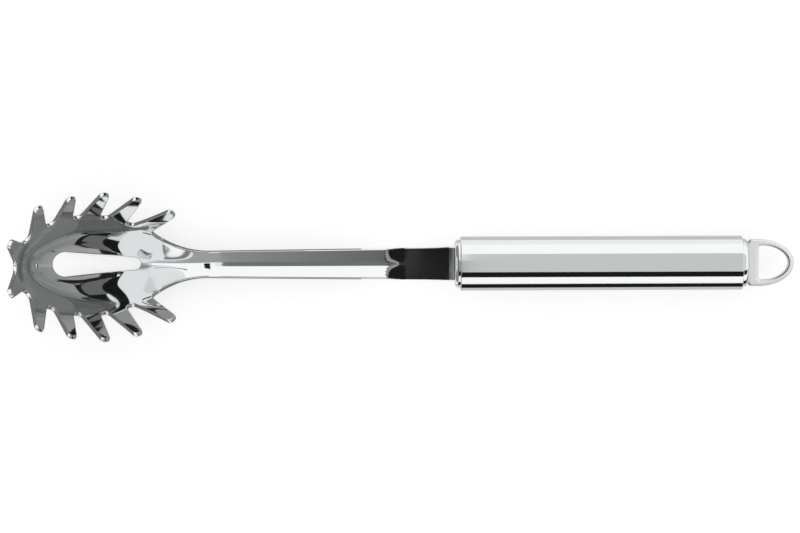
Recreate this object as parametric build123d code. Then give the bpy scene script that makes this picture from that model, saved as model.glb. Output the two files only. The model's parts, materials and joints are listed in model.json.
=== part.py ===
from build123d import *
import math
import os

# A stainless steel pasta server. All lengths are millimetres, all angles degrees.
# The tool frame has its zero on the handle axis at the front face of the front cap.
# X runs from the bowl to the loop and Z points out of the open side of the bowl.

# Handle tube and the two drawn caps that close it
handle_length = 121.7
handle_diameter = 23.4
handle_wall = 1.2
tube_edge_break = 0.4
cap_wall = 1.2
cap_reach = 2.4
cap_skirt = 7.0
cap_edge_break = 1.1
fit_gap = 0.1

# Hanging loop, a flat D with a straight bar, held by a tenon in the rear cap
loop_width = 20.2
loop_bar = 4.6
loop_nose = 15.4
loop_thickness = 4.6
loop_corner_radius = 1.8
loop_edge_break = 0.8
hole_width = 14.8
hole_length = 12.9
hole_nose = 11.5
hole_corner_radius = 1.0
tenon_width = 9.0
tenon_thickness = 2.4
tenon_length = 4.0

# Stamped blade, one sheet that forms the bowl, the teeth, the neck, the stem and the tang
sheet = 2.0
stem_length = 106.8
stem_drop = 0.3
stem_width = 14.6
flat_reach = 22.0
flat_run = 8.0
waist_width = 12.2
neck_length = 20.5
neck_flare = 4.7
neck_share = 0.6
tang_width = 12.0
tang_length = 42.0

# Bowl, in the tilted plane of its rim
bowl_length = 63.2
bowl_width = 40.2
bowl_depth = 19.0
bowl_rise = 9.0
bowl_tilt = 20.0
wall_angle = 70.0
rim_round = 0.8

# Channel from the bowl to the stem, in the same plane as the bowl
channel_depth = 17.0
channel_start = 20.0
channel_back = 12.0
channel_climb = 40.0
channel_back_climb = 50.0
channel_round = 2.0
channel_blend = 1.5
keel_round = 1.5
stem_flank = 18.8
throat_flank = 38.0
throat_end = 44.0
throat_fade = 4.0
throat_half_width = 16.0
throat_wall = 6.0
throat_wall_power = 6

# Teeth at an even pitch along the rim, numbered from the front
teeth_per_side = 6
toothed_share = 0.86
tooth_length = 23.0
length_shares = (0.89, 1.15, 0.98, 1, 1, 1.08)
tooth_tip_radius = 2.1
gullet_radius = 1.8
front_tooth_sweep = 2.0
rear_tooth_sweep = 5.0
tooth_splay = 26.0

# Teardrop drain slot in the floor of the bowl
slot_length = 37.4
slot_lead = 17.4
slot_front_radius = 5.2
slot_rear_radius = 2.6

# Rays over the sheet along which the forming sections lie
fan_rays = 20
fan_start = 5.0
fan_end = 13.0
fan_last_angle = 58.0
fan_margin = 15.0
throat_rays = 8
throat_last = 62.0
stem_margin = 4.0
points_per_ray = 17
rim_steps = 2000

# Overrun of the cuts and step of the numeric slopes
overrun = 6.0
probe = 0.001

# Sizes that follow from the ones above
bore_radius = handle_diameter / 2 - handle_wall
cap_radius = bore_radius - fit_gap
tube_start = cap_reach
tube_end = tube_start + handle_length
rear_face = tube_end + cap_reach
rim_long = bowl_length / 2
rim_short = bowl_width / 2
rim_step = math.pi / rim_steps
rim_angles = [rim_step * i for i in range(rim_steps)]
rim_half = rim_step * sum(math.hypot(rim_long * math.sin(a), rim_short * math.cos(a)) for a in rim_angles)
tooth_pitch = rim_half * toothed_share / teeth_per_side
wall_slope = math.tan(math.radians(wall_angle))
tilt_cos = math.cos(math.radians(bowl_tilt))
tilt_sin = math.sin(math.radians(bowl_tilt))
stem_slope = math.tan(math.radians(bowl_tilt))
stem_line = (bowl_rise + stem_drop) / tilt_cos
climb = math.tan(math.radians(channel_climb))
back_climb = math.tan(math.radians(channel_back_climb))
channel_bend = (channel_depth + climb * channel_start - stem_line) / (climb - stem_slope)
bowl_reach = stem_length + neck_length + rim_long * tilt_cos
rim_plane = Plane(
    origin=(-bowl_reach, 0, bowl_rise), x_dir=(tilt_cos, 0, -tilt_sin), z_dir=(tilt_sin, 0, tilt_cos)
)


def soft_plus(x, reach):
    """Zero before a bend and x after it, with the bend rounded over the reach."""
    return max(x, 0) + reach * math.log1p(math.exp(-abs(x) / reach))


def soft_min(a, b, reach):
    """The lower of two heights, with the crease between them rounded over the reach."""
    return min(a, b) - reach * math.log1p(math.exp(-abs(a - b) / reach))


def bowl_height(u, v):
    """Height of the dished bowl and of the flare that its teeth are cut from."""
    if math.hypot(u, v) < probe:
        u = probe
    rho = math.hypot(u / rim_long, v / rim_short)
    fall = math.hypot(u / rim_long**2, v / rim_short**2) / rho
    outside = (rho - 1) / fall
    splay = math.radians(tooth_splay)
    power = wall_slope / (bowl_depth * fall)
    wall = bowl_depth * (rho**power - 1) if rho < 1 else wall_slope * outside
    return wall - (wall_slope - 1 / math.tan(splay)) * soft_plus(outside, rim_round)


def flank_height(v, slope):
    """Rise of the channel's two flanks above its rounded keel."""
    return slope * (math.hypot(v, keel_round) - keel_round)


def channel_height(u, v):
    """Height of the channel that climbs out of the bowl and runs on as the stem."""
    near_share = 1 / (1 + math.exp((u - throat_end) / throat_fade))
    stem_side = math.tan(math.radians(stem_flank))
    throat_side = math.tan(math.radians(throat_flank))
    keel = (
        climb * soft_plus(u - channel_start, channel_round)
        - (climb - stem_slope) * soft_plus(u - channel_bend, channel_round)
        + back_climb * soft_plus(channel_back - u, channel_round)
        - channel_depth
    )
    flank = flank_height(v, stem_side + (throat_side - stem_side) * near_share)
    wall = near_share * throat_wall * (v / throat_half_width) ** throat_wall_power
    return keel + flank + wall


def sheet_height(u, v):
    """Height of the upper side of the sheet over the rim plane."""
    return soft_min(bowl_height(u, v), channel_height(u, v), channel_blend)


def sheet_point(u, v, depth):
    """Point of the formed sheet in the tool frame, the given depth below its upper side."""
    along = (sheet_height(u + probe, v) - sheet_height(u - probe, v)) / (2 * probe)
    across = (sheet_height(u, v + probe) - sheet_height(u, v - probe)) / (2 * probe)
    normal = Vector(-along, -across if v > 0 else 0, 1).normalized()
    return rim_plane.from_local_coords(Vector(u, v, sheet_height(u, v)) - normal * depth)


def stem_point(x, y, depth):
    """Point of the straight stem in the tool frame, the given depth below its upper side."""
    flat_share = min(max((x + flat_reach + flat_run) / flat_run, 0), 1)
    side = math.tan(math.radians(stem_flank)) * tilt_cos * (1 - flat_share)
    tilt = side * y / math.hypot(y, keel_round)
    normal = Vector(0, -tilt, 1).normalized()
    return Vector(x, y, flank_height(y, side) - stem_drop) - normal * depth


def ray_reach(start, angle):
    """Length of a ray from the bowl's long axis to the ellipse just outside the tooth tips."""
    wide, narrow = rim_long + fan_margin, rim_short + fan_margin
    a = (math.cos(angle) / wide) ** 2 + (math.sin(angle) / narrow) ** 2
    b = start * math.cos(angle) / wide**2
    c = (start / wide) ** 2 - 1
    return (math.sqrt(b * b - a * c) - b) / a


def section(point_at, places):
    """Closed section through the sheet, upper side out and lower side back."""
    top = [point_at(*place, 0) for place in places]
    under = [point_at(*place, sheet) for place in reversed(places)]
    edges = [Edge.make_spline(top), Edge.make_line(top[-1], under[0])]
    edges += [Edge.make_spline(under), Edge.make_line(under[-1], top[0])]
    return Wire(edges)


def ray_section(start, angle, reach):
    """Section of the sheet above one ray over the rim plane."""
    last = points_per_ray - 1
    steps = [reach * i / last for i in range(points_per_ray)]
    places = [(start + r * math.cos(angle), r * math.sin(angle)) for r in steps]
    places[0] = (start, 0)
    if angle == math.pi:
        places = [(u, 0) for u, v in places]
    return section(sheet_point, places)


def sheet_sections():
    """Sections from the front of the bowl, round its side and along the stem."""
    sections = []
    last_angle = math.radians(fan_last_angle)
    for i in range(fan_rays + 1):
        share = i / fan_rays
        angle = math.pi + (last_angle - math.pi) * share
        start = (fan_start + fan_end) * share - fan_start
        sections.append(ray_section(start, angle, ray_reach(start, angle)))
    first_reach = ray_reach(fan_end, last_angle)
    last_reach = stem_width / 2 + stem_margin
    for i in range(1, throat_rays + 1):
        share = i / throat_rays
        angle = last_angle + (math.pi / 2 - last_angle) * share
        start = fan_end + (throat_last - fan_end) * share
        reach = last_reach + (first_reach - last_reach) * (1 - share) ** 2
        sections.append(ray_section(start, angle, reach))
    reaches = [last_reach * i / (points_per_ray - 1) for i in range(points_per_ray)]
    for x in (-flat_reach - flat_run, -flat_reach, tang_length + overrun):
        sections.append(section(stem_point, [(x, y) for y in reaches]))
    return sections


def rim_place(s):
    """Rim angle, counted from the front, of the point a given way along the rim."""
    angle, gone = 0, 0
    while gone < s:
        gone += math.hypot(rim_long * math.sin(angle), rim_short * math.cos(angle)) * rim_step
        angle += rim_step
    return angle


def rim_point(s):
    """Point of the rim a given way along it, in the tool frame."""
    angle = rim_place(s)
    return rim_plane.from_local_coords(Vector(-rim_long * math.cos(angle), rim_short * math.sin(angle), 0))


def tooth_plane(s):
    """Plane of one tooth: X back along the rim, Y up the tooth, Z into the bowl."""
    angle = rim_place(s)
    u, v = -rim_long * math.cos(angle), rim_short * math.sin(angle)
    outward = Vector(u / rim_long**2, v / rim_short**2, 0).normalized()
    backward = Vector(outward.Y, -outward.X, 0)
    splay = math.radians(tooth_splay)
    inward = Vector(0, 0, 1) * math.sin(splay) - outward * math.cos(splay)
    zero = rim_plane.from_local_coords(Vector(0, 0, 0))
    return Plane(
        origin=rim_point(s),
        x_dir=rim_plane.from_local_coords(backward) - zero,
        z_dir=rim_plane.from_local_coords(inward) - zero,
    )


def tooth_side(side, tip):
    """Foot of a tooth flank, middle and end of its gullet arc, and its tangent point on the tip circle."""
    gullet = Vector(side * tooth_pitch / 2, gullet_radius)
    gap = tip - gullet
    turn = math.degrees(math.acos((gullet_radius + tooth_tip_radius) / gap.length))
    across = gap.normalized().rotate(Axis.Z, side * turn)
    low = gullet + (across + Vector(0, -1)).normalized() * gullet_radius
    return Vector(gullet.X, 0), low, gullet + across * gullet_radius, tip - across * tooth_tip_radius


def tooth_face(length, sweep, beside_neck):
    """Outline of one tooth: gullet arcs, straight flanks and a round tip swept back."""
    rise = length - tooth_tip_radius
    tip = Vector(rise * math.tan(math.radians(sweep)), rise)
    edges, feet, shoulders = [], [], []
    for side in (1, -1):
        foot, low, root, shoulder = tooth_side(side, tip)
        if side == 1 and beside_neck:
            foot = root - (shoulder - root) * (root.Y / (shoulder.Y - root.Y))
            edges.append(Edge.make_line(foot, root))
        else:
            edges.append(Edge.make_three_point_arc(foot, low, root))
        edges.append(Edge.make_line(root, shoulder))
        edges.append(Edge.make_line(foot, foot - Vector(0, overrun)))
        feet.append(edges[-1] @ 1)
        shoulders.append(shoulder)
    crown = tip + tip.normalized() * tooth_tip_radius
    edges.append(Edge.make_three_point_arc(shoulders[0], crown, shoulders[1]))
    edges.append(Edge.make_line(feet[0], feet[1]))
    return Face(Wire(edges))


def tooth_blanks():
    """Prisms that leave the teeth of one side standing, square to the flare."""
    blanks = []
    for i in range(teeth_per_side):
        share = (i + 1 / 2) / teeth_per_side
        sweep = front_tooth_sweep + (rear_tooth_sweep - front_tooth_sweep) * share
        length = tooth_length * length_shares[i % len(length_shares)]
        outline = tooth_face(length, sweep, beside_neck=i == teeth_per_side - 1)
        face = tooth_plane((i + 1 / 2) * tooth_pitch) * outline
        blanks.append(extrude(face, amount=overrun, both=True).solid())
    return blanks


def bowl_blank():
    """Everything under the rim plane on one side of the bowl, back to the last tooth."""
    front = rim_long + overrun
    length = front - rim_long * math.cos(rim_place((teeth_per_side - 1 / 2) * tooth_pitch))
    depth = bowl_depth + 2 * overrun
    box = Box(length, rim_short + overrun, depth, align=(Align.MIN, Align.MIN, Align.MAX))
    return rim_plane * Pos(-front, 0, 0) * box


def blade_blank():
    """Plan of the neck, the stem and the tang on one side of the axis."""
    beside = rim_point((teeth_per_side - 1 + neck_share) * tooth_pitch)
    waist = Vector(-stem_length, waist_width / 2)
    root = Vector(beside.X, beside.Y + neck_flare)
    chord = root - waist
    centre = waist + Vector(0, chord.length**2 / (2 * chord.Y))
    middle = centre - (centre - (root + waist) / 2).normalized() * (centre.Y - waist.Y)
    shoulder = Vector(cap_skirt, stem_width / 2)
    tang = Vector(cap_skirt, tang_width / 2)
    corners = [waist, Vector(0, stem_width / 2), shoulder, tang]
    inner = root - Vector(overrun, overrun)
    corners += [Vector(tang_length, tang.Y), Vector(tang_length, 0), Vector(inner.X, 0), inner, root]
    edges = [Edge.make_three_point_arc(root, middle, waist)]
    edges += [Edge.make_line(a, b) for a, b in zip(corners, corners[1:])]
    height = bowl_depth + bowl_length
    return extrude(Face(Wire(edges)), amount=height, both=True)


def drain_slot():
    """Teardrop prism through the floor of the bowl, wide end forward."""
    front = -bowl_reach - slot_lead + slot_front_radius
    rear = -bowl_reach - slot_lead + slot_length - slot_rear_radius
    ends = Pos(front, 0) * Circle(slot_front_radius) + Pos(rear, 0) * Circle(slot_rear_radius)
    height = bowl_depth + bowl_rise + overrun
    return extrude(make_hull(ends.edges()), amount=-height)


def server_blade():
    """The stamped sheet, formed and trimmed on one side, then mirrored."""
    sheet_half = Solid.make_loft(sheet_sections(), ruled=True)
    blank = bowl_blank() + tooth_blanks() + blade_blank()
    half = sheet_half & blank
    half = half - drain_slot()
    return (half + half.mirror(Plane.XZ)).solid()


def stem_mouth():
    """Prism of the flattened stem with its fit gap, for the mouth of the front cap."""
    box = Box(2 * overrun, stem_width + 2 * fit_gap, sheet + 2 * fit_gap)
    return Pos(0, 0, -stem_drop - sheet / 2) * box


def drawn_cap():
    """Cup with a broken front edge, its face on zero and its skirt along X."""
    length = cap_reach + cap_skirt
    cup = Pos(length / 2, 0, 0) * Rot(0, 90, 0) * Cylinder(cap_radius, length)
    cup = chamfer(cup.faces().sort_by(Axis.X)[0].edges(), cap_edge_break)
    inside = Pos(cap_wall + length / 2, 0, 0) * Rot(0, 90, 0) * Cylinder(cap_radius - cap_wall, length)
    return cup - inside


def front_cap():
    """Cap at the bowl end, with a mouth for the flattened stem."""
    return drawn_cap() - stem_mouth()


def rear_cap():
    """Cap at the loop end, with a slot for the loop's tenon."""
    cup = Pos(rear_face, 0, 0) * Rot(0, 0, 180) * drawn_cap()
    slot = Box(2 * overrun, tenon_width + 2 * fit_gap, tenon_thickness + 2 * fit_gap)
    return cup - Pos(rear_face, 0, 0) * slot


def handle_tube():
    """Plain round tube with its outer end edges broken."""
    middle = Pos((tube_start + tube_end) / 2, 0, 0) * Rot(0, 90, 0)
    outer = middle * Cylinder(handle_diameter / 2, handle_length)
    ends = outer.edges().filter_by(GeomType.CIRCLE)
    return chamfer(ends, tube_edge_break) - middle * Cylinder(bore_radius, handle_length)


def half_oval(start, nose, width):
    """Half ellipse that bulges along X from a straight edge at the start."""
    oval = Pos(start, 0) * Ellipse(nose, width / 2)
    return oval & Pos(start, 0) * Rectangle(nose, width, align=(Align.MIN, Align.CENTER))


def hanging_loop():
    """Flat D loop with broken edges and a tenon that passes through the rear cap."""
    bar = Rectangle(loop_bar, loop_width, align=(Align.MIN, Align.CENTER))
    bar = fillet(bar.vertices().group_by(Axis.X)[0], loop_corner_radius)
    straight = hole_length - hole_nose
    window = Pos(loop_bar, 0) * Rectangle(straight, hole_width, align=(Align.MIN, Align.CENTER))
    window = window + half_oval(loop_bar + straight, hole_nose, hole_width)
    window = fillet(window.vertices().group_by(Axis.X)[0], hole_corner_radius)
    face = bar + half_oval(loop_bar, loop_nose, loop_width) - window
    loop = extrude(face, amount=loop_thickness / 2, both=True)
    rims = [e for e in loop.edges() if abs(e.center().Z) > loop_thickness / 4 and e.center().X > fit_gap]
    loop = chamfer(rims, loop_edge_break)
    tenon = Box(tenon_length, tenon_width, tenon_thickness, align=(Align.MAX, Align.CENTER, Align.CENTER))
    return Pos(rear_face, 0, 0) * (loop + tenon)


def rest_place(pieces):
    """Place that lays the tool down on its bowl and on the rear edge of the tube."""
    heel = Vector(tube_end - tube_edge_break, 0, -handle_diameter / 2)
    corners = [vertex.center() for vertex in pieces[0].vertices() if vertex.center().X < 0]
    turn = Rot(0, math.degrees(max(math.atan2(heel.Z - p.Z, heel.X - p.X) for p in corners)), 0)
    box = Compound([turn * piece for piece in pieces]).bounding_box()
    return Pos(-box.center().X, -box.center().Y, -box.min.Z) * turn


def main():
    pieces = {
        "server_blade": server_blade(),
        "front_cap": front_cap(),
        "handle_tube": handle_tube(),
        "rear_cap": rear_cap(),
        "hanging_loop": hanging_loop(),
    }
    os.makedirs("parts", exist_ok=True)
    place = rest_place([piece.solid() for piece in pieces.values()])
    for name, piece in pieces.items():
        solid = place * piece.solid()
        solid.label = name
        export_step(solid, f"parts/{name}.step")


main()
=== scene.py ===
import json
import math

import bpy
import numpy as np
from mathutils import Matrix, Vector
from mathutils.geometry import delaunay_2d_cdt

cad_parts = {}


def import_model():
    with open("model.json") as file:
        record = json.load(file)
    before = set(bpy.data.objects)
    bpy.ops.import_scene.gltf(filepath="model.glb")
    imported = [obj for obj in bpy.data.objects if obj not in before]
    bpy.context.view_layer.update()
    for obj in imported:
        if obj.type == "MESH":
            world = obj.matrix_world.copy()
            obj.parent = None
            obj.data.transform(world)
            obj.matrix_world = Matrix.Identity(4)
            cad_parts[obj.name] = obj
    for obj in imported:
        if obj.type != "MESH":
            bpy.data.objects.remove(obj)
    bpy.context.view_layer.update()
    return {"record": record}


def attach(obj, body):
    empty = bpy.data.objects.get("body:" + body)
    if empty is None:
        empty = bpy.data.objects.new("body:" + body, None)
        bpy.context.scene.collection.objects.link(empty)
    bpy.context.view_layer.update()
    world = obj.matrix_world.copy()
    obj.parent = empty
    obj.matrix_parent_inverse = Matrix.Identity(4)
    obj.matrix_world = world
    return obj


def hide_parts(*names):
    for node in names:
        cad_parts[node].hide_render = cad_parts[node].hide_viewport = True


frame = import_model()

# Lengths of the tool are millimetres in this script, and MM turns them into metres. The studio's
# are metres.
# The tool frame has its zero on the handle axis at the front face of the front cap,
# X runs from the bowl to the loop and Z points out of the open side of the bowl.
MM = 0.001

# Handle, caps and loop
HANDLE_LENGTH = 121.7
HANDLE_DIAMETER = 23.4
HANDLE_WALL = 1.2
TUBE_ROUND = 0.35
CAP_WALL = 1.2
CAP_REACH = 2.4
CAP_SKIRT = 7.0
CAP_ROUND = 1.6
FIT_GAP = 0.1
LOOP_WIDTH = 20.2
LOOP_BAR = 4.6
LOOP_NOSE = 15.4
LOOP_THICKNESS = 4.6
LOOP_CORNER = 1.8
LOOP_ROUND = 0.9
HOLE_WIDTH = 14.8
HOLE_LENGTH = 12.9
HOLE_NOSE = 11.5
HOLE_CORNER = 1.0
TENON_WIDTH = 9.0
TENON_THICKNESS = 2.4

# Neck, stem and tang of the sheet
SHEET = 2.0
SHEET_ROUND = 0.55
STEM_LENGTH = 106.8
STEM_DROP = 0.3
STEM_WIDTH = 14.6
FLAT_REACH = 22.0
FLAT_RUN = 8.0
WAIST_WIDTH = 12.2
NECK_LENGTH = 20.5
NECK_FLARE = 4.7
NECK_SHARE = 0.6
TANG_WIDTH = 12.0
TANG_LENGTH = 42.0

# Bowl and channel, in the tilted plane of the rim
BOWL_LENGTH = 63.2
BOWL_WIDTH = 40.2
BOWL_DEPTH = 19.0
BOWL_RISE = 9.0
BOWL_TILT = math.radians(20)
WALL_SLOPE = math.tan(math.radians(70))
RIM_ROUND = 0.8
CHANNEL_DEPTH = 17.0
CHANNEL_START = 20.0
CHANNEL_BACK = 12.0
CHANNEL_CLIMB = math.tan(math.radians(40))
CHANNEL_BACK_CLIMB = math.tan(math.radians(50))
CHANNEL_ROUND = 2.0
CHANNEL_BLEND = 1.5
KEEL_ROUND = 1.5
STEM_FLANK = math.tan(math.radians(18.8))
THROAT_FLANK = math.tan(math.radians(38))
THROAT_END = 44.0
THROAT_FADE = 4.0
THROAT_HALF_WIDTH = 16.0
THROAT_WALL = 6.0
THROAT_WALL_POWER = 6

# Teeth and drain slot; the shares are each tooth's part of the common length, from the front
TEETH_PER_SIDE = 6
TOOTHED_SHARE = 0.86
TOOTH_LENGTH = 23.0
LENGTH_SHARES = (0.89, 1.15, 0.98, 1, 1, 1.08)
TOOTH_TIP = 2.1
GULLET = 1.8
FRONT_SWEEP = math.radians(2)
REAR_SWEEP = math.radians(5)
TOOTH_SPLAY = math.radians(26)
SLOT_LENGTH = 37.4
SLOT_LEAD = 17.4
SLOT_FRONT = 5.2
SLOT_REAR = 2.6

# Fineness of the meshes, steps in millimetres
GRID = 0.55
GRID_CLEARANCE = 0.6
EDGE_STEP = 0.3
SHORTEST_STEP = 0.2 * EDGE_STEP
ARC_FINENESS = 1.5
BOX_CORNER_FINENESS = 2
D_CORNER_STEPS = 6
EDGE_RINGS = 4
CAP_RINGS = 10
TURN_SEGMENTS = 256
RIM_STEPS = 4000
MERGE_REACH = 1e-9

# The map that the sheet's grid is laid out on: beyond the fold, lengths are shrunk to a share
MAP_RAYS = 720
MAP_STEPS = 1200
MAP_FOLD = 62.0
MAP_FOLD_SHARE = 0.3

# Searches on the sheet, and how far the corner between teeth and neck is cut back for its bend
PROBE = 0.001
DROP_PROBE = 0.1 * GRID
DROP_ROUNDS = 30
PLAN_ROUNDS = 40
EXPONENT_LIMIT = 50
CORNER_CUT = GULLET * 0.9

# Colours of the steel, and how its noises are built and read
POLISHED = (0.765, 0.78, 0.785)
SATIN = (0.75, 0.765, 0.77)
EVEN = (1, 1, 1)
SMUDGE_DETAIL = 3
RELIEF_DETAIL = 2
NOISE_SPAN = (0.3, 0.7)

# Floor and backdrop, in metres
FLOOR_SIZE = 12.0
FLOOR_COLOUR = 0.86
FLOOR_ROUGHNESS = 0.9
FLOOR_LIFT = 0.5
WORLD_LIGHT = 0.65
WHITE = (1, 1, 1, 1)

# Cards that the steel mirrors: strengths, then distances in metres
TONES = {
    "softbox": 1.2,
    "ceiling": 0.7,
    "slate": 0.2,
    "grey": 0.42,
    "dim": 0.2,
    # pale is the strength of the handle's painted shadow on the floor, which only the steel's reflections
    # see
    "pale": 0.66,
    "flag": 0.012,
}
CARD_DISTANCE = 1.2
FLAG_DISTANCE = 1.15
SIDE_REACH = 1.5
MAT_HEIGHT = 0.0005

# Edges of the cards over the tool, in degrees from straight up towards +Y
NEAR_END = -92
NEAR_EDGE = -59
TOP_NEAR_EDGE = -35
STEM_NEAR_EDGE = -22
STEM_FAR_EDGE = 15
TOP_FAR_EDGE = 43
FAR_END = 118

# Where those cards start and end along the tool, X in metres
SLATE_START = -0.24
STEM_END = -0.03
HANDLE_START = 0.02
LOOP_START = 0.254

# Mats on the floor beside the handle, a grey one that is the handle's painted shadow and a dark one further
# towards -Y: X of their ends and Y of the edge between them
MAT_START = 0.01
MAT_END = 0.4
MAT_EDGE = -0.036

# Walls between the stem and the head: X and height of their top
HEAD_WALL_X = -0.024
HEAD_WALL_TOP = 0.25

# Camera of the photograph: an image of 800 by 533 seen from above the handle, its distance in metres
IMAGE_WIDTH = 800
IMAGE_HEIGHT = 533
HANDLE_ROW = 263.8
MIDDLE_X = -23.73
VIEW_DISTANCE = 1.37
VIEW_ROLL = math.radians(2.4)
VIEW_TWIST = math.radians(0.2)
MM_PER_PIXEL = 0.4327
SENSOR = 36.0
CLIP_END = 100

TILT_COS = math.cos(BOWL_TILT)
TILT_SIN = math.sin(BOWL_TILT)
RIM_LONG = BOWL_LENGTH / 2
RIM_SHORT = BOWL_WIDTH / 2
STEM_SLOPE = math.tan(BOWL_TILT)
BOWL_REACH = STEM_LENGTH + NECK_LENGTH + RIM_LONG * TILT_COS
STEM_LINE = (BOWL_RISE + STEM_DROP) / TILT_COS
CHANNEL_RISE = CHANNEL_DEPTH + CHANNEL_CLIMB * CHANNEL_START - STEM_LINE
CHANNEL_BEND = CHANNEL_RISE / (CHANNEL_CLIMB - STEM_SLOPE)
RIM_ORIGIN = np.array([-BOWL_REACH, 0, BOWL_RISE])
RIM_AXES = np.array([[TILT_COS, 0, -TILT_SIN], [0, 1, 0], [TILT_SIN, 0, TILT_COS]])
REAR_FACE = 2 * CAP_REACH + HANDLE_LENGTH


def tool_matrix():
    """Place of the tool frame in the part frame, read from the mount on the handle's axis."""
    grip = next(m for m in frame["record"]["mounts"] if m["name"] == "handle_grip")
    along = Vector(grip["axis"]).normalized()
    across = Vector((0, 1, 0))
    up = along.cross(across)
    middle = (CAP_REACH + HANDLE_LENGTH / 2) * MM
    origin = Vector(grip["pos_m"]) - along * middle
    turn = Matrix((along, across, up)).transposed().to_4x4()
    return Matrix.Translation(origin) @ turn


TOOL = tool_matrix()


def to_part(points):
    """Tool frame in millimetres to part frame in metres."""
    turn = np.array(TOOL.to_3x3())
    return (points * MM) @ turn.T + np.array(TOOL.translation)


def turn_only(directions):
    return directions @ np.array(TOOL.to_3x3()).T


# The formed sheet


def soft_plus(x, reach):
    """The larger of x and 0, with a soft bend between them."""
    return np.maximum(x, 0) + reach * np.log1p(np.exp(-np.abs(x) / reach))


def soft_min(a, b, reach):
    """The smaller of two heights, with a soft bend where they cross."""
    return np.minimum(a, b) - reach * np.log1p(np.exp(-np.abs(a - b) / reach))


def bowl_height(u, v):
    """Height of the dished bowl and of the flare that its teeth are cut from."""
    u = np.where(np.hypot(u, v) < PROBE, PROBE, u)
    rho = np.hypot(u / RIM_LONG, v / RIM_SHORT)
    fall = np.hypot(u / RIM_LONG**2, v / RIM_SHORT**2) / rho
    outside = (rho - 1) / fall
    power = WALL_SLOPE / (BOWL_DEPTH * fall)
    dish = BOWL_DEPTH * (np.minimum(rho, 1) ** power - 1)
    wall = np.where(rho < 1, dish, WALL_SLOPE * outside)
    return wall - (WALL_SLOPE - 1 / math.tan(TOOTH_SPLAY)) * soft_plus(outside, RIM_ROUND)


def channel_height(u, v):
    """Height of the channel that climbs out of the bowl and runs on as the stem."""
    fade = np.clip((u - THROAT_END) / THROAT_FADE, -EXPONENT_LIMIT, EXPONENT_LIMIT)
    near_share = 1 / (1 + np.exp(fade))
    keel = (
        CHANNEL_CLIMB * soft_plus(u - CHANNEL_START, CHANNEL_ROUND)
        - (CHANNEL_CLIMB - STEM_SLOPE) * soft_plus(u - CHANNEL_BEND, CHANNEL_ROUND)
        + CHANNEL_BACK_CLIMB * soft_plus(CHANNEL_BACK - u, CHANNEL_ROUND)
        - CHANNEL_DEPTH
    )
    flat_start = (BOWL_REACH - FLAT_REACH - FLAT_RUN) * TILT_COS
    flat_start += (BOWL_RISE + STEM_DROP) * TILT_SIN
    flat_share = np.clip((u - flat_start) / (FLAT_RUN * TILT_COS), 0, 1)
    flat_share = flat_share**2 * (3 - 2 * flat_share)
    slope = (STEM_FLANK + (THROAT_FLANK - STEM_FLANK) * near_share) * (1 - flat_share)
    flank = slope * (np.hypot(v, KEEL_ROUND) - KEEL_ROUND)
    wall = near_share * THROAT_WALL * (v / THROAT_HALF_WIDTH) ** THROAT_WALL_POWER
    return keel + flank + wall


def sheet_height(u, v):
    return soft_min(bowl_height(u, v), channel_height(u, v), CHANNEL_BLEND)


def sheet_surface(plan):
    """Tool frame points and normals of the sheet's upper side over places of the rim plane."""
    u, v = plan[:, 0], plan[:, 1]
    height = sheet_height(u, v)
    along = (sheet_height(u + PROBE, v) - sheet_height(u - PROBE, v)) / (2 * PROBE)
    across = (sheet_height(u, v + PROBE) - sheet_height(u, v - PROBE)) / (2 * PROBE)
    normal = np.column_stack([-along, -across, np.ones_like(u)])
    normal /= np.linalg.norm(normal, axis=1)[:, None]
    local = np.column_stack([u, v, height])
    return from_rim(local), normal @ RIM_AXES


def from_rim(local):
    return RIM_ORIGIN + local @ RIM_AXES


def to_rim(points):
    return (points - RIM_ORIGIN) @ RIM_AXES.T


def drop_on_sheet(local, direction):
    """Slides points of the rim frame along a direction until they lie on the sheet."""
    local = np.array(local, float)
    for _ in range(DROP_ROUNDS):
        gap = sheet_height(local[:, 0], local[:, 1]) - local[:, 2]
        probe = local + direction * DROP_PROBE
        ahead = sheet_height(probe[:, 0], probe[:, 1]) - probe[:, 2]
        rate = (ahead - gap) / DROP_PROBE
        local += direction * np.clip(-gap / rate, -GULLET, GULLET)[:, None]
    return local[:, :2]


# Outline of the sheet, one side first


# Angles round the rim's ellipse from its front, and the way along the rim to each
RIM_ANGLES = np.linspace(0, math.pi, RIM_STEPS)
RIM_PACES = np.hypot(RIM_LONG * np.sin(RIM_ANGLES), RIM_SHORT * np.cos(RIM_ANGLES))
RIM_WAYS = np.cumsum(RIM_PACES) * RIM_ANGLES[1]
TOOTH_PITCH = RIM_WAYS[-1] * TOOTHED_SHARE / TEETH_PER_SIDE


def rim_point(way):
    """Point of the rim ellipse, in the rim frame, a given way along it from the front."""
    angle = np.interp(way, RIM_WAYS, RIM_ANGLES)
    return np.array([-RIM_LONG * math.cos(angle), RIM_SHORT * math.sin(angle), 0])


def tooth_frame(way):
    """Origin and axes of a tooth in the rim frame: back along the rim, up the tooth, inward."""
    point = rim_point(way)
    outward = point / np.array([RIM_LONG**2, RIM_SHORT**2, 1])
    outward /= np.linalg.norm(outward)
    backward = np.array([outward[1], -outward[0], 0])
    inward = np.array([0, 0, math.sin(TOOTH_SPLAY)]) - outward * math.cos(TOOTH_SPLAY)
    return point, backward, np.cross(inward, backward), inward


def turned(vector, angle):
    c, s = math.cos(angle), math.sin(angle)
    return np.array([c * vector[0] - s * vector[1], s * vector[0] + c * vector[1]])


def tooth_flank(side, tip):
    """Lower and upper end of a tooth flank, tangent to the gullet circle and to the tip circle."""
    gullet = np.array([side * TOOTH_PITCH / 2, GULLET])
    gap = tip - gullet
    length = np.linalg.norm(gap)
    across = turned(gap / length, side * math.acos((GULLET + TOOTH_TIP) / length))
    return gullet + across * GULLET, tip - across * TOOTH_TIP


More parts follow.
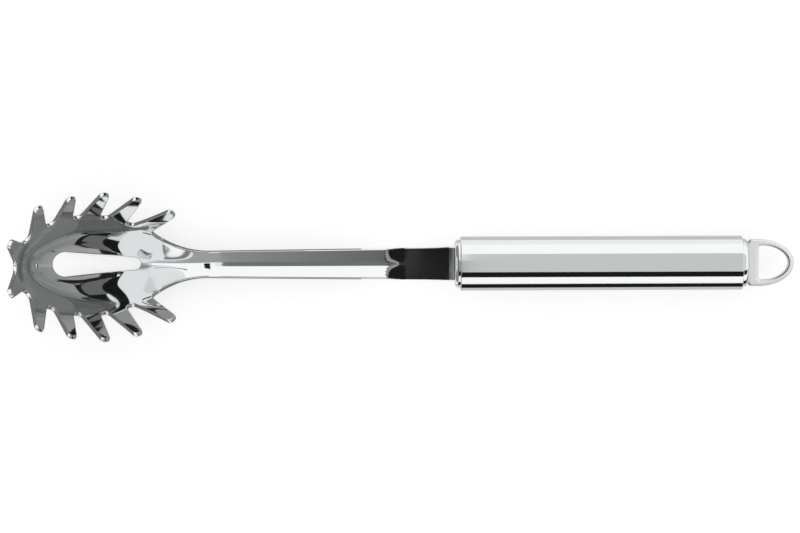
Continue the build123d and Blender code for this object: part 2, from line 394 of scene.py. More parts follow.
def line_points(a, b, step=EDGE_STEP):
    count = max(2, math.ceil(np.linalg.norm(np.subtract(b, a)) / step) + 1)
    return [np.array(a) + (np.subtract(b, a)) * i / (count - 1) for i in range(count)]


def divided(points, step):
    """Closed loop of points whose sides are divided into steps."""
    closed = points + points[:1]
    return np.array([p for a, b in zip(closed, closed[1:]) for p in line_points(a, b, step)[:-1]])


def tooth_points(index):
    """Front flank, round tip and rear flank of one tooth, laid on the sheet."""
    share = (index + 1 / 2) / TEETH_PER_SIDE
    sweep = FRONT_SWEEP + (REAR_SWEEP - FRONT_SWEEP) * share
    rise = TOOTH_LENGTH * LENGTH_SHARES[index] - TOOTH_TIP
    tip = np.array([rise * math.tan(sweep), rise])
    front_low, front_high = tooth_flank(-1, tip)
    rear_low, rear_high = tooth_flank(1, tip)
    start = math.atan2(*(front_high - tip)[::-1])
    end = math.atan2(*(rear_high - tip)[::-1])
    if end > start:
        end -= math.tau
    count = math.ceil(abs(end - start) * TOOTH_TIP / EDGE_STEP * ARC_FINENESS)
    turns = [start + (end - start) * i / count for i in range(1, count)]
    flat = line_points(front_low, front_high)
    flat += [tip + TOOTH_TIP * np.array([math.cos(a), math.sin(a)]) for a in turns]
    flat += line_points(rear_high, rear_low)
    origin, back, up, inward = tooth_frame((index + 1 / 2) * TOOTH_PITCH)
    local = np.array([origin + back * p[0] + up * p[1] for p in flat])
    return drop_on_sheet(local, inward)


def lifted(plan):
    """Rim plane places with their height on the sheet."""
    plan = np.atleast_2d(plan)
    return np.column_stack([plan, sheet_height(plan[:, 0], plan[:, 1])])


def bend(start, start_way, end, end_way):
    """Round bend between two points of the sheet, for the directions that it leaves and arrives in."""
    chord = np.linalg.norm(end - start)
    turn = math.acos(np.clip(np.dot(start_way, end_way), -1, 1))
    radius = chord / (2 * math.sin(turn / 2))
    handle = 4 / 3 * math.tan(turn / 4) * radius
    count = math.ceil(radius * turn / EDGE_STEP * ARC_FINENESS)
    points = []
    for i in range(1, count):
        t = i / count
        r = 1 - t
        a, b = start + start_way * handle, end - end_way * handle
        points.append(r**3 * start + 3 * t * r**2 * a + 3 * t * t * r * b + t**3 * end)
    return np.array(points)[:, :2]


def joined(first, second):
    """Two stretches of outline with a round bend between them."""
    a, b = lifted(first[-2:]), lifted(second[:2])
    start_way = (a[1] - a[0]) / np.linalg.norm(a[1] - a[0])
    end_way = (b[1] - b[0]) / np.linalg.norm(b[1] - b[0])
    return np.vstack([first, bend(a[1], start_way, b[0], end_way), second])


def plan_place(x, y):
    """Rim plane place of the sheet above a point of the tool's plan."""
    u = (x + BOWL_REACH) / TILT_COS
    v = np.array(y, float)
    for _ in range(PLAN_ROUNDS):
        u = (x + BOWL_REACH - TILT_SIN * sheet_height(u, v)) / TILT_COS
    return np.column_stack([u, v])


def stem_points():
    """Neck, stem and tang, from the bowl to the end of the tang."""
    beside = from_rim(rim_point((TEETH_PER_SIDE - 1 + NECK_SHARE) * TOOTH_PITCH))
    along, across = -STEM_LENGTH - beside[0], beside[1] + NECK_FLARE - WAIST_WIDTH / 2
    radius = math.hypot(along, across) ** 2 / (2 * across)
    sweep = math.atan2(along, radius - across)
    count = math.ceil(sweep * radius / EDGE_STEP)
    turns = sweep * np.linspace(1, 0, count, endpoint=False)
    x = list(-STEM_LENGTH - radius * np.sin(turns))
    y = list(WAIST_WIDTH / 2 + radius * (1 - np.cos(turns)))
    corners = [
        (-STEM_LENGTH, WAIST_WIDTH / 2),
        (0, STEM_WIDTH / 2),
        (CAP_SKIRT, STEM_WIDTH / 2),
        (CAP_SKIRT + TUBE_ROUND, TANG_WIDTH / 2),
        (TANG_LENGTH, TANG_WIDTH / 2),
        (TANG_LENGTH, 0),
    ]
    for a, b in zip(corners, corners[1:]):
        for p in line_points(a, b, 3 * EDGE_STEP)[:-1]:
            x.append(p[0])
            y.append(p[1])
    x, y = np.array(x), np.array(y)
    # The sheet's edge leans outward towards its underside, so the upper edge lies inside the plan
    edge = plan_place(x, y)
    normal = sheet_surface(edge)[1]
    return plan_place(x, y - SHEET * np.abs(normal[:, 1]) * (y > 0))


def trimmed(first, second, reach):
    """Cuts two crossing stretches back from their crossing by a reach."""
    gaps = np.linalg.norm(first[:, None] - second[None], axis=2)
    i, j = np.unravel_index(np.argmin(gaps), gaps.shape)
    back = np.cumsum(np.linalg.norm(np.diff(lifted(first[: i + 1])[::-1], axis=0), axis=1))
    ahead = np.cumsum(np.linalg.norm(np.diff(lifted(second[j:]), axis=0), axis=1))
    end = i - int(np.searchsorted(back, reach))
    start = j + 1 + int(np.searchsorted(ahead, reach))
    return first[:end], second[start:]


def sheet_outline():
    """Closed outline of the sheet in the rim plane, counterclockwise seen from above."""
    side = tooth_points(0)
    for index in range(1, TEETH_PER_SIDE):
        side = joined(side, tooth_points(index))
    side, stem = trimmed(side, stem_points(), CORNER_CUT)
    side = joined(side, stem)
    mirror = side[::-1] * np.array([1, -1])
    front = joined(mirror[-2:], side[:2])[2:-2]
    loop = np.vstack([mirror, front, side])
    keep = np.linalg.norm(loop - np.roll(loop, 1, axis=0), axis=1) > SHORTEST_STEP
    loop = loop[keep]
    return loop if polygon_area(loop) > 0 else loop[::-1]


def slot_outline():
    """Teardrop outline of the drain slot in the rim plane, clockwise."""
    front = -BOWL_REACH - SLOT_LEAD + SLOT_FRONT
    rear = -BOWL_REACH - SLOT_LEAD + SLOT_LENGTH - SLOT_REAR
    lean = math.asin((SLOT_FRONT - SLOT_REAR) / (rear - front))
    points = []
    for centre, radius, start, sweep in (
        (rear, SLOT_REAR, math.pi / 2 - lean, -math.pi + 2 * lean),
        (front, SLOT_FRONT, -math.pi / 2 + lean, -math.pi - 2 * lean),
    ):
        count = math.ceil(abs(sweep) * radius / EDGE_STEP)
        for i in range(count + 1):
            a = start + sweep * i / count
            points.append((centre + radius * math.cos(a), radius * math.sin(a)))
    dense = divided(points, EDGE_STEP)
    return plan_place(dense[:, 0], dense[:, 1])


def polygon_area(loop):
    x, y = loop[:, 0], loop[:, 1]
    return np.sum(x * np.roll(y, -1) - np.roll(x, -1) * y) / 2


def inside(points, loop):
    """Which points lie inside a closed loop."""
    hit = np.zeros(len(points), bool)
    for a, b in zip(loop, np.roll(loop, -1, axis=0)):
        rows = (a[1] > points[:, 1]) != (b[1] > points[:, 1])
        if rows.any():
            at = a[0] + (points[rows, 1] - a[1]) * (b[0] - a[0]) / (b[1] - a[1])
            hit[rows] ^= points[rows, 0] < at
    return hit


# Meshes


def make_mesh(name, points, normals, faces):
    """Smooth mesh object from points and normals of the tool frame."""
    mesh = bpy.data.meshes.new(name)
    mesh.from_pydata(to_part(points).tolist(), [], faces)
    mesh.validate()
    mesh.polygons.foreach_set("use_smooth", [True] * len(mesh.polygons))
    mesh.normals_split_custom_set_from_vertices(turn_only(normals).tolist())
    mesh.update()
    piece = bpy.data.objects.new(name, mesh)
    bpy.context.scene.collection.objects.link(piece)
    return piece


def edge_profile(depth, radius):
    """Rounded edge of a plate: steps out of the inset and down, with their normals."""
    rows = []
    for low in (0, 1):
        for i in range(EDGE_RINGS + 1):
            a = (low + i / EDGE_RINGS) * math.pi / 2
            out, up = math.sin(a), math.cos(a)
            down = radius if not low else depth - radius
            rows.append((-radius + radius * out, down - radius * up, out, up))
    return rows


def plate(name, loops, surface, depth, profiles, flatten, grid):
    """Plate between an upper surface and its offset, with shaped rims round its loops.

    loops are plan outlines with the material on their left, surface gives points and normals over
    plan places, profiles hold the rims' steps, flatten lays the plan out on a map for the grid.
    """
    insets, rings = [], []
    for loop, profile in zip(loops, profiles):
        points, normals = surface(loop)
        along = np.roll(points, -1, axis=0) - np.roll(points, 1, axis=0)
        out = np.cross(along, normals)
        out /= np.linalg.norm(out, axis=1)[:, None]
        insets.append(flatten.back(points + out * profile[0][0]))
        rings.append((points, normals, out))
    starts = np.cumsum([0] + [len(inset) for inset in insets])
    border = np.vstack(insets)
    flat_border = flatten(border)
    flat_loops = [flat_border[a:b] for a, b in zip(starts, starts[1:])]
    inner = grid_points(flat_loops, grid)
    flat = np.vstack([flat_border, inner])
    edges = []
    for a, b in zip(starts, starts[1:]):
        edges += [(i, i + 1) for i in range(a, b - 1)] + [(b - 1, a)]
    found = delaunay_2d_cdt([Vector(p) for p in flat], edges, [], 0, MERGE_REACH, False)
    flat = np.array([p[:] for p in found[0]])
    triangles = np.array(found[2])
    middles = flat[triangles].mean(axis=1)
    kept = inside(middles, flat_loops[0])
    for hole in flat_loops[1:]:
        kept &= ~inside(middles, hole)
    triangles = triangles[kept]
    plan = np.vstack([border, flatten.inverse(inner)])
    if len(flat) != len(plan):
        raise ValueError(f"{name}: the map's outlines cross or touch")
    top, normal = surface(plan)
    count = len(plan)
    points = [top, top - normal * depth]
    normals = [normal, -normal]
    faces = [tuple(t) for t in triangles] + [tuple(t[::-1] + count) for t in triangles]
    total = 2 * count
    for (rim, up, out), profile, a, b in zip(rings, profiles, starts, starts[1:]):
        ring = list(range(a, b))
        for step_out, step_down, normal_out, normal_up in profile[1:-1]:
            points.append(rim + out * step_out - up * step_down)
            normals.append(out * normal_out + up * normal_up)
            ring, last = list(range(total, total + b - a)), ring
            total += b - a
            faces += ring_faces(last, ring)
        faces += ring_faces(ring, [i + count for i in range(a, b)])
    faces = [tuple(int(i) for i in face) for face in faces]
    return make_mesh(name, np.vstack(points), np.vstack(normals), faces)


def ring_faces(upper, lower):
    """Quads that go down from one ring to the next, with their outside out."""
    turned_on = zip(upper, upper[1:] + upper[:1], lower[1:] + lower[:1], lower)
    return [(a, d, c, b) for a, b, c, d in turned_on]


def grid_points(loops, grid):
    """Triangular grid inside the outer loop, clear of every loop."""
    low, high = loops[0].min(axis=0), loops[0].max(axis=0)
    xs = np.arange(low[0], high[0], grid)
    ys = np.arange(low[1], high[1], grid * math.sqrt(3) / 2)
    x, y = np.meshgrid(xs, ys)
    x[1::2] += grid / 2
    points = np.column_stack([x.ravel(), y.ravel()])
    kept = inside(points, loops[0])
    for hole in loops[1:]:
        kept &= ~inside(points, hole)
    points = points[kept]
    clear = np.ones(len(points), bool)
    for p in np.vstack(loops):
        clear &= (np.abs(points - p) > GRID_CLEARANCE * grid).any(axis=1)
    return points[clear]


class Unrolled:
    """Map of the rim plane in which distances from the bowl's middle are lengths along the sheet.

    Beyond the fold they are shrunk, which gives the stem a coarser grid than the head.
    """

    def __init__(self, reach):
        self.angles = np.linspace(-math.pi, math.pi, MAP_RAYS + 1)
        self.radii = np.linspace(0, reach, MAP_STEPS)
        u = np.cos(self.angles)[:, None] * self.radii
        v = np.sin(self.angles)[:, None] * self.radii
        climb = np.diff(sheet_height(u, v), axis=1)
        pace = np.where(self.radii[1:] > MAP_FOLD, MAP_FOLD_SHARE, 1)
        step = np.hypot(climb, self.radii[1]) * pace
        self.lengths = np.column_stack([np.zeros(MAP_RAYS + 1), np.cumsum(step, axis=1)])

    def blend(self, angle):
        """Ray below each angle, and the share of the way to the next ray."""
        place = (angle + math.pi) / (self.angles[1] - self.angles[0])
        low = np.clip(place.astype(int), 0, len(self.angles) - 2)
        return low, place - low

    def __call__(self, plan):
        angle, radius = np.arctan2(plan[:, 1], plan[:, 0]), np.hypot(plan[:, 0], plan[:, 1])
        low, share = self.blend(angle)
        place = radius / self.radii[1]
        step = np.clip(place.astype(int), 0, len(self.radii) - 2)
        part = place - step
        rows = [
            self.lengths[ray, step] * (1 - part) + self.lengths[ray, step + 1] * part
            for ray in (low, low + 1)
        ]
        length = rows[0] * (1 - share) + rows[1] * share
        return np.column_stack([length * np.cos(angle), length * np.sin(angle)])

    def inverse(self, flat):
        angle, length = np.arctan2(flat[:, 1], flat[:, 0]), np.hypot(flat[:, 0], flat[:, 1])
        low, share = self.blend(angle)
        radius = np.zeros(len(flat))
        for k in np.unique(low):
            rows = low == k
            for ray, weight in ((k, 1 - share[rows]), (k + 1, share[rows])):
                radius[rows] += weight * np.interp(length[rows], self.lengths[ray], self.radii)
        return np.column_stack([radius * np.cos(angle), radius * np.sin(angle)])

    def back(self, points):
        return to_rim(points)[:, :2]


class Level:
    """Map of a flat plate, whose plan is its own map."""

    def __init__(self, origin, axes):
        self.origin = np.array(origin, float)
        self.axes = np.array(axes, float)

    def __call__(self, plan):
        return plan

    def inverse(self, flat):
        return flat

    def back(self, points):
        return ((points - self.origin) @ self.axes.T)[:, :2]

    def surface(self, plan):
        local = np.column_stack([plan, np.zeros(len(plan))])
        return self.origin + local @ self.axes, np.tile(self.axes[2], (len(plan), 1))


def server_blade():
    loops = [sheet_outline(), slot_outline()]
    profiles = [edge_profile(SHEET, SHEET_ROUND)] * 2
    reach = (BOWL_REACH + TANG_LENGTH) / TILT_COS + STEM_WIDTH
    return plate("blade_sheet", loops, sheet_surface, SHEET, profiles, Unrolled(reach), GRID)


def circle(radius):
    """Counterclockwise circle."""
    count = math.ceil(math.tau * radius / EDGE_STEP)
    turns = np.linspace(0, math.tau, count, endpoint=False)
    return np.column_stack([np.cos(turns), np.sin(turns)]) * radius


def rounded_box(half_u, half_v, radius):
    """Counterclockwise box outline with round corners."""
    points = []
    for k, (su, sv) in enumerate(((1, 1), (-1, 1), (-1, -1), (1, -1))):
        centre = np.array([su * (half_u - radius), sv * (half_v - radius)])
        count = max(4, math.ceil(radius * math.pi / 2 / EDGE_STEP * BOX_CORNER_FINENESS))
        for i in range(count + 1):
            a = (k + i / count) * math.pi / 2
            points.append(centre + radius * np.array([math.cos(a), math.sin(a)]))
    return divided(points, 2 * EDGE_STEP)


def cap_profile():
    """Cap from its face round the edge, down the skirt and back up inside it."""
    length = CAP_REACH + CAP_SKIRT
    rows = []
    for i in range(CAP_RINGS + 1):
        a = i / CAP_RINGS * math.pi / 2
        out, up = math.sin(a), math.cos(a)
        rows.append((-CAP_ROUND + CAP_ROUND * out, CAP_ROUND - CAP_ROUND * up, out, up))
    lip = CAP_WALL / 2
    for i in range(2 * EDGE_RINGS + 1):
        a = math.pi / 2 + i / (2 * EDGE_RINGS) * math.pi
        out, up = math.sin(a), math.cos(a)
        rows.append((-lip + lip * out, length - lip - lip * up, out, up))
    inner = CAP_ROUND - CAP_WALL
    for i in range(EDGE_RINGS + 1):
        a = i / EDGE_RINGS * math.pi / 2
        out = -CAP_WALL - inner + inner * math.cos(a)
        rows.append((out, CAP_ROUND - inner * math.sin(a), -math.cos(a), -math.sin(a)))
    return rows


def cap(name, origin, toward, hole):
    """Drawn cap whose outer face looks toward -X or +X, with a mouth in its face."""
    level = Level(origin, [[0, toward, 0], [0, 0, 1], [toward, 0, 0]])
    radius = HANDLE_DIAMETER / 2 - HANDLE_WALL - FIT_GAP
    loops = [circle(radius), hole[::-1]]
    profiles = [cap_profile(), edge_profile(CAP_WALL, TUBE_ROUND / 2)]
    return plate(name, loops, level.surface, CAP_WALL, profiles, level, 2 * GRID)


def front_cap():
    hole = rounded_box(STEM_WIDTH / 2 + FIT_GAP, SHEET / 2 + FIT_GAP, TUBE_ROUND)
    return cap("cap_front", (0, 0, 0), -1, hole + np.array([0, -STEM_DROP - SHEET / 2]))


def rear_cap():
    hole = rounded_box(TENON_WIDTH / 2 + FIT_GAP, TENON_THICKNESS / 2 + FIT_GAP, TUBE_ROUND)
    return cap("cap_rear", (REAR_FACE, 0, 0), 1, hole)


def handle_tube():
    """Tube as a ring of its wall turned about the handle's axis."""
    start, end = CAP_REACH, CAP_REACH + HANDLE_LENGTH
    outer, bore = HANDLE_DIAMETER / 2, HANDLE_DIAMETER / 2 - HANDLE_WALL
    rows = []
    corners = ((end, outer, 1, 1), (start, outer, -1, 1), (start, bore, -1, -1), (end, bore, 1, -1))
    for k, (x, r, sx, sr) in enumerate(corners):
        middle_x, middle_r = x - sx * TUBE_ROUND, r - sr * TUBE_ROUND
        for i in range(EDGE_RINGS * 2 + 1):
            a = k * math.pi / 2 + i / (EDGE_RINGS * 2) * math.pi / 2
            nx, nr = math.cos(a), math.sin(a)
            rows.append((middle_x + TUBE_ROUND * nx, middle_r + TUBE_ROUND * nr, nx, nr))
    points, normals, faces = [], [], []
    for k in range(TURN_SEGMENTS):
        a = k / TURN_SEGMENTS * math.tau
        c, s = math.cos(a), math.sin(a)
        points += [(x, r * c, r * s) for x, r, nx, nr in rows]
        normals += [(nx, nr * c, nr * s) for x, r, nx, nr in rows]
    size = len(rows)
    for k in range(TURN_SEGMENTS):
        here, there = k * size, (k + 1) % TURN_SEGMENTS * size
        for i in range(size):
            j = (i + 1) % size
            faces.append((here + i, here + j, there + j, there + i))
    return make_mesh("tube", np.array(points), np.array(normals), faces)


def half_oval(start, nose, width):
    """Points of the round end of a D outline."""
    count = math.ceil(2 * nose / EDGE_STEP)
    turns = np.linspace(-math.pi / 2, math.pi / 2, count)
    return [np.array([start + nose * math.cos(a), width / 2 * math.sin(a)]) for a in turns]


def quarter_round(centre, radius, first_turn):
    """Points of a round corner at the straight side of a D outline."""
    turns = [first_turn + i / D_CORNER_STEPS * math.pi / 2 for i in range(D_CORNER_STEPS + 1)]
    return [np.array(centre) + radius * np.array([math.cos(a), math.sin(a)]) for a in turns]


def d_outline(start, straight, nose, width, radius):
    """Counterclockwise D: two round corners, two straight sides and a half oval."""
    half = width / 2 - radius
    points = quarter_round((start + radius, half), radius, math.pi / 2)
    points += quarter_round((start + radius, -half), radius, math.pi)
    points += half_oval(start + straight, nose, width)
    return divided(points, EDGE_STEP)


def hanging_loop():
    level = Level((REAR_FACE, 0, LOOP_THICKNESS / 2), np.eye(3))
    outer = d_outline(0, LOOP_BAR, LOOP_NOSE, LOOP_WIDTH, LOOP_CORNER)
    hole = d_outline(LOOP_BAR, HOLE_LENGTH - HOLE_NOSE, HOLE_NOSE, HOLE_WIDTH, HOLE_CORNER)
    profiles = [edge_profile(LOOP_THICKNESS, LOOP_ROUND)] * 2
    return plate("loop", [outer, hole[::-1]], level.surface, LOOP_THICKNESS, profiles, level, GRID)


# Materials


def noise(material, scale, detail, stretch):
    """Noise in the part's own frame, whose cells grow along an axis as its stretch gets less."""
    nodes, links = material.node_tree.nodes, material.node_tree.links
    place = nodes.new("ShaderNodeTexCoord")
    mapping = nodes.new("ShaderNodeMapping")
    mapping.inputs["Scale"].default_value = stretch
    grain = nodes.new("ShaderNodeTexNoise")
    grain.inputs["Scale"].default_value = scale
    grain.inputs["Detail"].default_value = detail
    links.new(place.outputs["Object"], mapping.inputs["Vector"])
    links.new(mapping.outputs["Vector"], grain.inputs["Vector"])
    return grain.outputs["Fac"]


def vary(material, socket, source, low, high):
    """Lets a noise move a shader value between two limits."""
    nodes, links = material.node_tree.nodes, material.node_tree.links
    spread = nodes.new("ShaderNodeMapRange")
    spread.inputs["From Min"].default_value, spread.inputs["From Max"].default_value = NOISE_SPAN
    spread.inputs["To Min"].default_value = low
    spread.inputs["To Max"].default_value = high
    links.new(source, spread.inputs["Value"])
    links.new(spread.outputs["Result"], socket)


def bump(material, socket, layers):
    """Stacks bumps, each a noise with its height in metres."""
    nodes, links = material.node_tree.nodes, material.node_tree.links
    last = None
    for source, height in layers:
        node = nodes.new("ShaderNodeBump")
        node.inputs["Strength"].default_value = 1
        node.inputs["Distance"].default_value = height
        links.new(source, node.inputs["Height"])
        if last:
            links.new(last.outputs["Normal"], node.inputs["Normal"])
        last = node
    links.new(last.outputs["Normal"], socket)


def steel(name, colour, middle, smudge, limits, reliefs):
    """Steel with a roughness that wanders between limits, and fine reliefs.

    smudge is the scale and stretch of the noise behind the roughness, each relief a scale, a
    stretch and a height in metres.
    """
    material = bpy.data.materials.new(name)
    material.use_nodes = True
    shader = material.node_tree.nodes["Principled BSDF"]
    shader.inputs["Base Color"].default_value = (*colour, 1)
    shader.inputs["Metallic"].default_value = 1
    shader.inputs["Roughness"].default_value = middle
    scale, stretch = smudge
    vary(material, shader.inputs["Roughness"], noise(material, scale, SMUDGE_DETAIL, stretch), *limits)
    layers = []
    for scale, stretch, height in reliefs:
        layers.append((noise(material, scale, RELIEF_DETAIL, stretch), height))
    bump(material, shader.inputs["Normal"], layers)
    return material


def steel_sheet():
    """Mirror polished sheet with slight waves and faint polishing lines."""
    waves, lines = (60, EVEN, 0.00002), (900, (0.05, 1, 1), 0.0000006)
    smudge, limits = (35, EVEN), (0.035, 0.07)
    return steel("mirror_steel", POLISHED, middle=0.06, smudge=smudge, limits=limits, reliefs=[waves, lines])


def steel_tube():
    """Polished tube with a fine lengthwise grain."""
    grain = (1500, (0.01, 1, 1), 0.0000008)
    smudge, limits = (30, (0.3, 1, 1)), (0.045, 0.075)
    return steel("tube_steel", POLISHED, middle=0.08, smudge=smudge, limits=limits, reliefs=[grain])


def steel_cap():
    """Polished drawn cap, a touch softer than the sheet."""
    waves = (200, EVEN, 0.000004)
    smudge, limits = (120, EVEN), (0.06, 0.12)
    return steel("cap_steel", POLISHED, middle=0.08, smudge=smudge, limits=limits, reliefs=[waves])


def steel_loop():
    """Satin cast steel with a fine even tooth."""
    tooth = (2500, EVEN, 0.0000025)
    smudge, limits = (150, EVEN), (0.26, 0.36)
    return steel("satin_steel", SATIN, middle=0.3, smudge=smudge, limits=limits, reliefs=[tooth])


# Studio


def glow(name, strength, rise=None, axis=2):
    """Even light of one strength, or one that rises from it to another along an axis of its card."""
    material = bpy.data.materials.new(name)
    material.use_nodes = True
    nodes, links = material.node_tree.nodes, material.node_tree.links
    nodes.clear()
    light = nodes.new("ShaderNodeEmission")
    light.inputs["Color"].default_value = WHITE
    light.inputs["Strength"].default_value = strength
    out = nodes.new("ShaderNodeOutputMaterial")
    links.new(light.outputs["Emission"], out.inputs["Surface"])
    if rise:
        place = nodes.new("ShaderNodeTexCoord")
        split = nodes.new("ShaderNodeSeparateXYZ")
        level = nodes.new("ShaderNodeMapRange")
        level.inputs["To Min"].default_value = strength
        level.inputs["To Max"].default_value = rise
        links.new(place.outputs["Generated"], split.inputs["Vector"])
        links.new(split.outputs[axis], level.inputs["Value"])
        links.new(level.outputs["Result"], light.inputs["Strength"])
    return material


def quad(name, centre, u, v, material):
    """Flat card round a centre with sides u and v, part of the stage and not of the object."""
    centre, u, v = Vector(centre), Vector(u), Vector(v)
    corners = [centre + a * u / 2 + b * v / 2 for a, b in ((-1, -1), (1, -1), (1, 1), (-1, 1))]
    mesh = bpy.data.meshes.new(name)
    mesh.from_pydata([c[:] for c in corners], [], [(0, 1, 2, 3)])
    mesh.materials.append(material)
    piece = bpy.data.objects.new(name, mesh)
    bpy.context.scene.collection.objects.link(piece)
    return piece


def seen_share(nodes, links):
    """Socket that is 1 where the camera sees, also by way of metal or glass, and 0 for other light."""
    path = nodes.new("ShaderNodeLightPath")
    last = path.outputs["Is Camera Ray"]
    for ray in ("Is Glossy Ray", "Is Transmission Ray"):
        either = nodes.new("ShaderNodeMath")
        either.operation = "MAXIMUM"
        links.new(last, either.inputs[0])
        links.new(path.outputs[ray], either.inputs[1])
        last = either.outputs["Value"]
    return last


def floor():
    """Pale floor that shows the object's shadow and is white to the camera."""
    material = bpy.data.materials.new("floor_white")
    material.use_nodes = True
    nodes, links = material.node_tree.nodes, material.node_tree.links
    shader = nodes["Principled BSDF"]
    shader.inputs["Base Color"].default_value = (FLOOR_COLOUR, FLOOR_COLOUR, FLOOR_COLOUR, 1)
    shader.inputs["Roughness"].default_value = FLOOR_ROUGHNESS
    shader.inputs["Specular IOR Level"].default_value = 0
    lift = nodes.new("ShaderNodeMath")
    lift.operation = "MULTIPLY"
    lift.inputs[1].default_value = FLOOR_LIFT
    links.new(seen_share(nodes, links), lift.inputs[0])
    shader.inputs["Emission Color"].default_value = WHITE
    links.new(lift.outputs["Value"], shader.inputs["Emission Strength"])
    quad("floor", (0, 0, 0), (FLOOR_SIZE, 0, 0), (0, FLOOR_SIZE, 0), material)


def world():
    """White where it is seen, even pale grey as a light."""
    scene_world = bpy.data.worlds.new("studio")
    bpy.context.scene.world = scene_world
    scene_world.use_nodes = True
    nodes, links = scene_world.node_tree.nodes, scene_world.node_tree.links
    nodes.clear()
    level = nodes.new("ShaderNodeMapRange")
    level.inputs["To Min"].default_value = WORLD_LIGHT
    level.inputs["To Max"].default_value = 1
    background = nodes.new("ShaderNodeBackground")
    background.inputs["Color"].default_value = WHITE
    out = nodes.new("ShaderNodeOutputWorld")
    links.new(seen_share(nodes, links), level.inputs["Value"])
    links.new(level.outputs["Result"], background.inputs["Strength"])
    links.new(background.outputs["Background"], out.inputs["Surface"])


def mirrored_only(piece):
    """Leaves a card to the steel's reflections: no shadow, no light on the floor."""
    piece.visible_camera = False
    piece.visible_diffuse = False
    piece.visible_shadow = False


def card(name, corner, along, across, material):
    """Card of the studio in the tool frame, from one corner along its two sides."""
    centre = TOOL @ (Vector(corner) + (Vector(along) + Vector(across)) / 2)
    turn = TOOL.to_3x3()
    mirrored_only(quad(name, centre, turn @ Vector(along), turn @ Vector(across), material))


def strip(name, angles, distance, reach, material):
    """Card along the tool between two angles from straight up, counted towards +Y."""
    turns = [math.radians(a) for a in angles]
    low, high = (Vector((0, math.sin(a), math.cos(a))) * distance for a in turns)
    start = low + Vector((reach[0], 0, 0))
    card(name, start, (reach[1] - reach[0], 0, 0), high - low, material)


def wall(name, start, end, heights, material):
    """Upright card over a line of the plan."""
    along = Vector((end[0] - start[0], end[1] - start[1], 0))
    card(name, (start[0], start[1], heights[0]), along, (0, 0, heights[1] - heights[0]), material)


def mat(name, x_range, y_range, material):
    """Card that lies on the floor, in the part frame."""
    middle = ((x_range[0] + x_range[1]) / 2, (y_range[0] + y_range[1]) / 2, MAT_HEIGHT)
    along, across = (x_range[1] - x_range[0], 0, 0), (0, y_range[1] - y_range[0], 0)
    mirrored_only(quad(name, middle, along, across, material))


def handle_cards(tones):
    """Bands that run along the handle in its reflections, from +Y over the top to the floor at -Y, and the
    handle's shadow painted as a grey card on the floor.
    """
    bright, dark = tones["softbox"], tones["flag"]
    whole, handle, loop = (HANDLE_START, SIDE_REACH), (HANDLE_START, LOOP_START), (LOOP_START, SIDE_REACH)
    top = (TOP_NEAR_EDGE, TOP_FAR_EDGE)
    strip("softbox_far_handle", (TOP_FAR_EDGE, FAR_END), CARD_DISTANCE, whole, bright)
    strip("ceiling_handle", top, CARD_DISTANCE, handle, tones["ceiling"])
    strip("softbox_loop", top, CARD_DISTANCE, loop, bright)
    strip("flag_near_high", (NEAR_EDGE, TOP_NEAR_EDGE), CARD_DISTANCE, (STEM_END, SIDE_REACH), dark)
    strip("softbox_near", (NEAR_END, NEAR_EDGE), CARD_DISTANCE, (-SIDE_REACH, SIDE_REACH), bright)
    # The handle's shadow on the floor, painted as a grey card that only the steel's reflections see
    mat("handle_shadow_mat", (MAT_START, MAT_END), (MAT_EDGE, 0.04), tones["pale"])
    mat("mat_near", (MAT_START, MAT_END), (-0.2, MAT_EDGE), dark)


def stem_cards(tones):
    """Dark over the stem's flat end, and a slate and a white side over the rest of the stem."""
    bright, dark = tones["softbox"], tones["flag"]
    flat_end, stem = (STEM_END, HANDLE_START), (-SIDE_REACH, STEM_END)
    near, far = (NEAR_EDGE, STEM_NEAR_EDGE), (STEM_FAR_EDGE, FAR_END)
    rising = glow("slate_rise", 0.42, 0.15, 0)
    strip("flag_stem_end", (TOP_NEAR_EDGE, STEM_FAR_EDGE), FLAG_DISTANCE, flat_end, dark)
    strip("softbox_stem_end", far, CARD_DISTANCE, flat_end, bright)
    wall("flag_cap", (-0.002, -0.9), (-0.002, 0.9), (0.02, 1.15), dark)
    strip("slate_near", near, CARD_DISTANCE, (SLATE_START, STEM_END), rising)
    strip("slate_near_left", near, CARD_DISTANCE, (-SIDE_REACH, SLATE_START), tones["grey"])
    strip("softbox_far_stem", far, CARD_DISTANCE, stem, bright)
    card("slate_stem", (-0.131, -0.125, 0.3), (0.102, 0, 0), (0, 0.205, 0), tones["slate"])


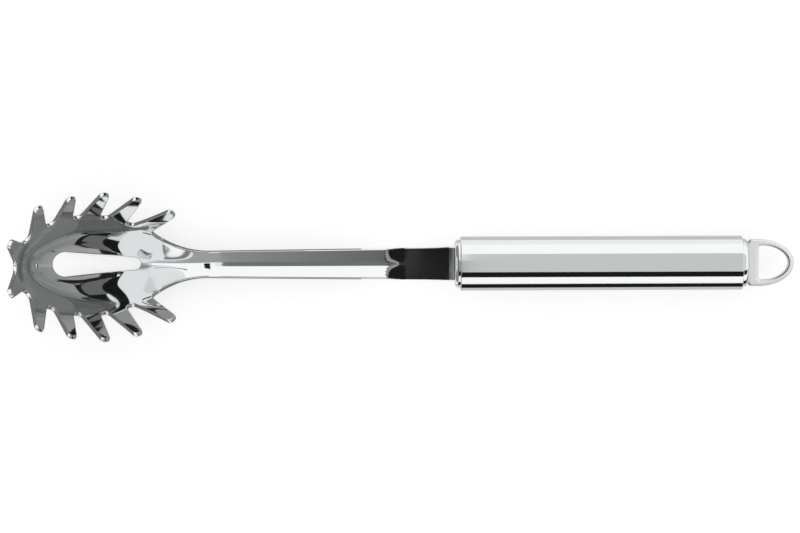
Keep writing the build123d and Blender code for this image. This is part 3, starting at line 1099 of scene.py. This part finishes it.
def head_cards(tones):
    """Dim floor and greys round the head, with the flags behind its black patches."""
    grey, dark = tones["grey"], tones["flag"]
    card("shade_head", (-0.171, -0.027, 0.1), (0.028, 0, 0), (0, 0.084, 0), dark)
    mat("mat_head", (-0.4, -0.02), (-0.3, 0.3), tones["dim"])
    mat("mat_slot", (-0.14, -0.126), (-0.03, 0.03), dark)
    for side, top_strength in ((-1, 0.47), (1, 0.4)):
        start, end = (HEAD_WALL_X, 0.013 * side), (HEAD_WALL_X, 0.279 * side)
        rising = glow("grey_rise", 0.27, top_strength)
        wall(f"grey_right_{side}", start, end, (-0.0128, HEAD_WALL_TOP), rising)
    wall("grey_right", (HEAD_WALL_X, -0.013), (HEAD_WALL_X, 0.013), (0.03, HEAD_WALL_TOP), grey)
    wall("flag_far", (-0.155, 0.1), (-0.07, 0.1), (0.05, 0.13), dark)
    wall("flag_near", (-0.15, -0.1), (-0.115, -0.1), (0.06, 0.115), dark)
    card("softbox_left", (-1.6, -0.35, 1.1), (1.27, 0, 0), (0, 0.7, 0), tones["softbox"])
    card("grey_left", (-1.6, 0.5, 1.0), (0.7, 0, 0), (0, 0.65, 0), grey)


def studio():
    """Floor, backdrop and the cards that stand for the photograph's reflections."""
    floor()
    world()
    tones = {name: glow(name, strength) for name, strength in TONES.items()}
    handle_cards(tones)
    stem_cards(tones)
    head_cards(tones)


def camera():
    """Camera of the photograph: above the handle, rolled about the handle's axis and twisted a touch."""
    data = bpy.data.cameras.new("photo_view")
    view_width = MM_PER_PIXEL * MM * IMAGE_WIDTH
    data.sensor_width = SENSOR
    data.lens = SENSOR * VIEW_DISTANCE / view_width
    data.clip_end = CLIP_END
    view = bpy.data.objects.new("photo_view", data)
    bpy.context.scene.collection.objects.link(view)
    turn = Matrix.Rotation(-VIEW_ROLL, 4, "X") @ Matrix.Rotation(-VIEW_TWIST, 4, "Z")
    drop = (HANDLE_ROW - IMAGE_HEIGHT / 2) * MM_PER_PIXEL
    aim = Vector((MIDDLE_X, 0, 0)) + turn.to_3x3() @ Vector((0, drop, VIEW_DISTANCE / MM))
    view.matrix_world = TOOL @ Matrix.Translation(aim * MM) @ turn
    bpy.context.scene.camera = view


def dress(piece, node, material):
    """Gives a piece its material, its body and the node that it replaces."""
    piece.data.materials.append(material)
    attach(piece, "root")
    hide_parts(node)


def main():
    cap_steel = steel_cap()
    dress(server_blade(), "server_blade", steel_sheet())
    dress(front_cap(), "front_cap", cap_steel)
    dress(handle_tube(), "handle_tube", steel_tube())
    dress(rear_cap(), "rear_cap", cap_steel)
    dress(hanging_loop(), "hanging_loop", steel_loop())
    studio()
    camera()
    bpy.context.scene.view_settings.view_transform = "Standard"


main()
